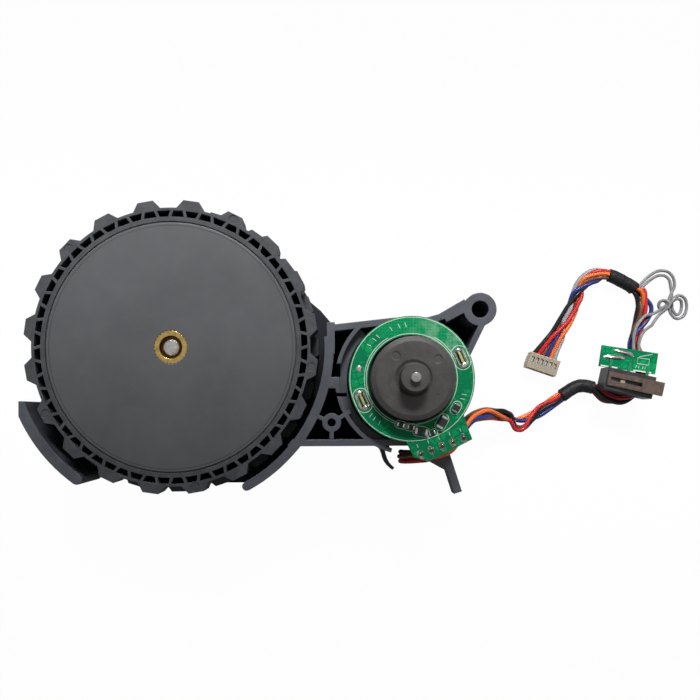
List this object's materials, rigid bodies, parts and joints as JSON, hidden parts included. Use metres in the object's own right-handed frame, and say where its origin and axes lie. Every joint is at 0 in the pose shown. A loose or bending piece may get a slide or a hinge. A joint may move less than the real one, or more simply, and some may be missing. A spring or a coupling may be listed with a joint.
{
  "type": "robot vacuum wheel module",
  "caption": "Lugged drive wheel on a swing arm with gear case, small motor with encoder board, and a wiring harness with a drop switch and connector.",
  "frame": {"origin": "on the axis of the arm's pivot bore, at the level of the gear case's back face", "axes": "+Z along the pivot and wheel axes towards the wheel's outer face, +X from the wheel towards the pivot, +Y to the arm's top edge"},
  "size_m": [0.172, 0.0714, 0.0429],
  "materials": {
    "arm_plastic": "moulded, fine satin grain",
    "cover_plastic": "moulded, fine satin grain",
    "steel": "ground",
    "zinc_screw": "zinc plated",
    "bronze": "sintered",
    "wheel_plastic": "moulded, smooth satin",
    "tyre_rubber": "moulded rubber",
    "brass": "turned and grooved",
    "gear_plastic": "natural acetal",
    "core_steel": "laminated",
    "copper": "turned",
    "magnet": "moulded ferrite",
    "can_steel": "drawn and plated",
    "black_plastic": "moulded",
    "brush_block": "carbon",
    "tin": "tinned",
    "board_green": "solder resist",
    "wire_skin": "PVC insulation",
    "wire_grey": "PVC insulation",
    "shrink": "heat shrink sleeve",
    "cream_plastic": "moulded nylon",
    "lever_metal": "sheet spring steel"
  },
  "bodies": {
    "root": {"arm_frame": "arm_plastic", "spring_hook": "arm_plastic", "switch_finger": "arm_plastic", "gear_case_cover": "cover_plastic", "case_screws": "zinc_screw", "axle_bushes": "bronze", "gear_pins": "steel", "motor_can": "can_steel", "motor_magnets": "magnet", "motor_bearings": "bronze", "motor_end_cap": "black_plastic", "motor_brushes": "brush_block", "motor_terminals": "tin", "motor_board": "board_green", "board_parts": "black_plastic", "board_solder": "tin", "harness_run": "wire_skin", "switch_leads": "wire_grey", "lower_sleeve": "shrink", "upper_sleeve": "shrink", "connector_housing": "cream_plastic", "connector_contacts": "tin", "switch_body": "black_plastic", "switch_pins": "tin", "switch_board": "board_green"},
    "wheel": {"wheel_disc": "wheel_plastic", "tyre": "tyre_rubber", "hub_insert": "brass", "wheel_axle": "steel", "output_gear": "gear_plastic"},
    "second_gear": {"second_gear": "gear_plastic"},
    "first_gear": {"first_gear": "gear_plastic"},
    "rotor": {"motor_pinion": "brass", "motor_shaft": "steel", "motor_armature": "core_steel", "motor_commutator": "copper", "encoder_magnet": "magnet"},
    "lever": {"switch_lever": "lever_metal"},
    "plunger": {"switch_plunger": "cream_plastic"}
  },
  "joints": [
    {"name": "wheel_spin", "type": "hinge", "parent": "root", "child": "wheel", "pos_m": [-0.0737, -0.0092, 0], "axis": [0, 0, 1], "continuous": true},
    {"name": "second_gear_spin", "type": "hinge", "parent": "root", "child": "second_gear", "pos_m": [-0.04928, -0.0169, 0], "axis": [0, 0, 1], "continuous": true},
    {"name": "first_gear_spin", "type": "hinge", "parent": "root", "child": "first_gear", "pos_m": [-0.03198, -0.01872, 0], "axis": [0, 0, 1], "continuous": true},
    {"name": "rotor_spin", "type": "hinge", "parent": "root", "child": "rotor", "pos_m": [-0.0166, -0.0168, 0], "axis": [0, 0, 1], "continuous": true},
    {"name": "lever_press", "type": "hinge", "parent": "root", "child": "lever", "pos_m": [0.03684, -0.0156, 0.0106], "axis": [0.2164, 0.9763, 0], "range_deg": [0, 4], "stiffness_Nm_per_rad": 0.02, "springref_deg": -4.01},
    {"name": "plunger_press", "type": "slide", "parent": "root", "child": "plunger", "axis": [0, 0, -1], "range_m": [0, 0.0003]}
  ],
  "couplings": [
    {"joint": "second_gear_spin", "follows": "wheel_spin", "ratio": -3.5714},
    {"joint": "first_gear_spin", "follows": "wheel_spin", "ratio": 11.224},
    {"joint": "rotor_spin", "follows": "wheel_spin", "ratio": -38.484},
    {"joint": "plunger_press", "follows": "lever_press", "m_per_rad": 0.0039}
  ]
}
